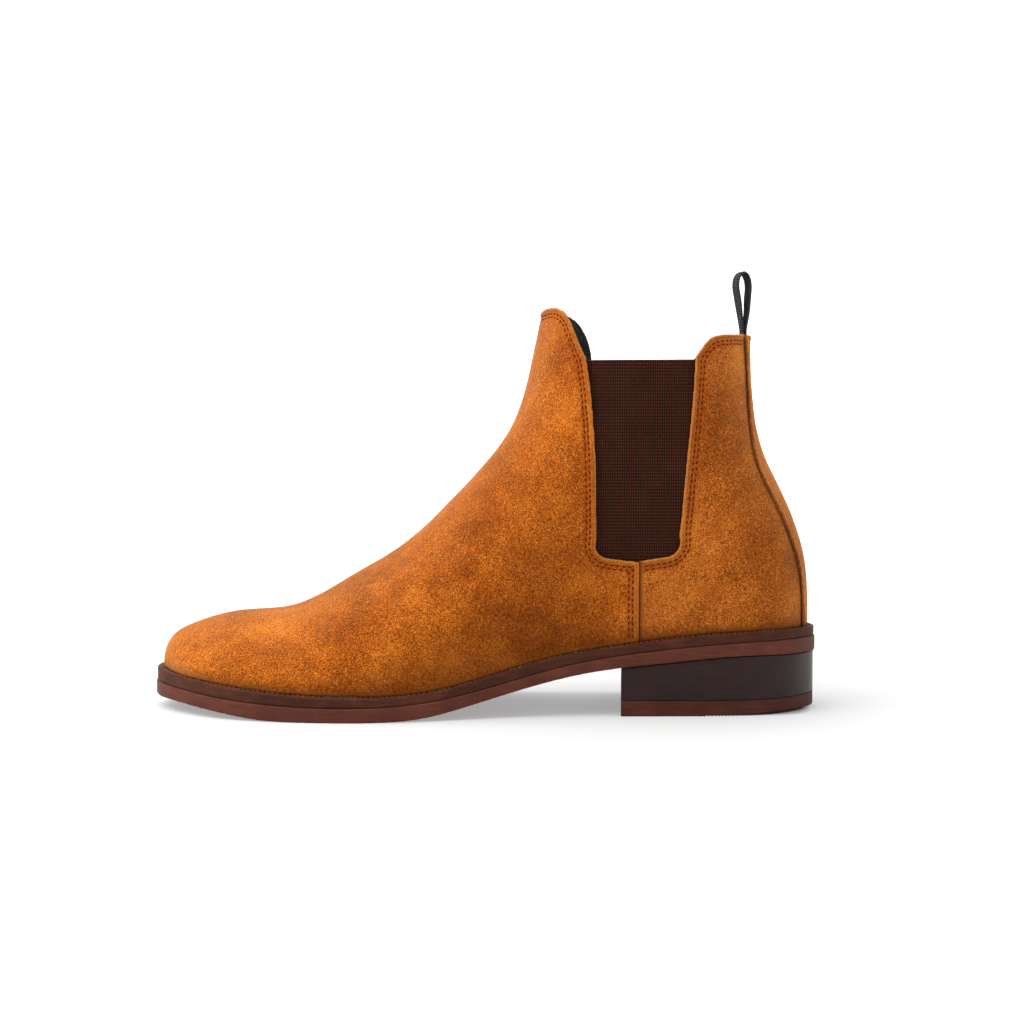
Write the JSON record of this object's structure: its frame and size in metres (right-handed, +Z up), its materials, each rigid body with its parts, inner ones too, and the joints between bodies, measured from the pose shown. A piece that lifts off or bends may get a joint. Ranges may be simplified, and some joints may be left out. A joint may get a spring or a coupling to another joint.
{
  "type": "chelsea boot",
  "caption": "Ankle-high suede pull-on boot with elastic side gores, a webbing pull tab at the heel, a welted sole and a low stacked heel; left foot.",
  "frame": {"origin": "on the floor, below the middle of the sole's length and width", "axes": "+X to the toe, +Y to the outer (little-toe) side, +Z up"},
  "size_m": [0.3011, 0.1037, 0.197],
  "materials": {
    "suede": "napped suede",
    "suede_quarter": "napped suede",
    "elastic": "ribbed elastic",
    "webbing": "herringbone webbing",
    "lining": "matt textile",
    "stiffener": "matt",
    "interlining": "matt",
    "board": "fibre board",
    "cork": "granular cork",
    "foam": "closed-cell foam",
    "steel": "rolled",
    "welt_leather": "smooth, waxed",
    "outsole_rubber": "matt",
    "heel_rubber": "matt",
    "top_piece_rubber": "matt, ribbed",
    "thread": "waxed thread"
  },
  "bodies": {
    "boot": {"vamp": "suede", "quarter_lateral": "suede_quarter", "quarter_medial": "suede_quarter", "back_stay": "suede_quarter", "gore_lateral": "elastic", "gore_medial": "elastic", "toe_puff": "stiffener", "vamp_interlining": "interlining", "heel_counter": "stiffener", "vamp_lining": "lining", "quarter_lining_lateral": "lining", "quarter_lining_medial": "lining", "heel_grip": "lining", "insole_board": "board", "sock_liner": "lining", "heel_pad": "foam", "welt": "welt_leather", "steel_shank": "steel", "cork_filler": "cork", "heel_nails": "steel", "outsole": "outsole_rubber", "heel_block": "heel_rubber", "heel_top_piece": "top_piece_rubber", "pull_tab_tail": "webbing"},
    "pull_tab": {"pull_tab": "webbing"}
  },
  "joints": [
    {"name": "pull_tab_fold", "type": "hinge", "parent": "boot", "child": "pull_tab", "pos_m": [-0.1166, 0, 0.1697], "axis": [-0.2419, 0.9703, 0], "range_deg": [-80, 80], "stiffness_Nm_per_rad": 0.0004}
  ]
}
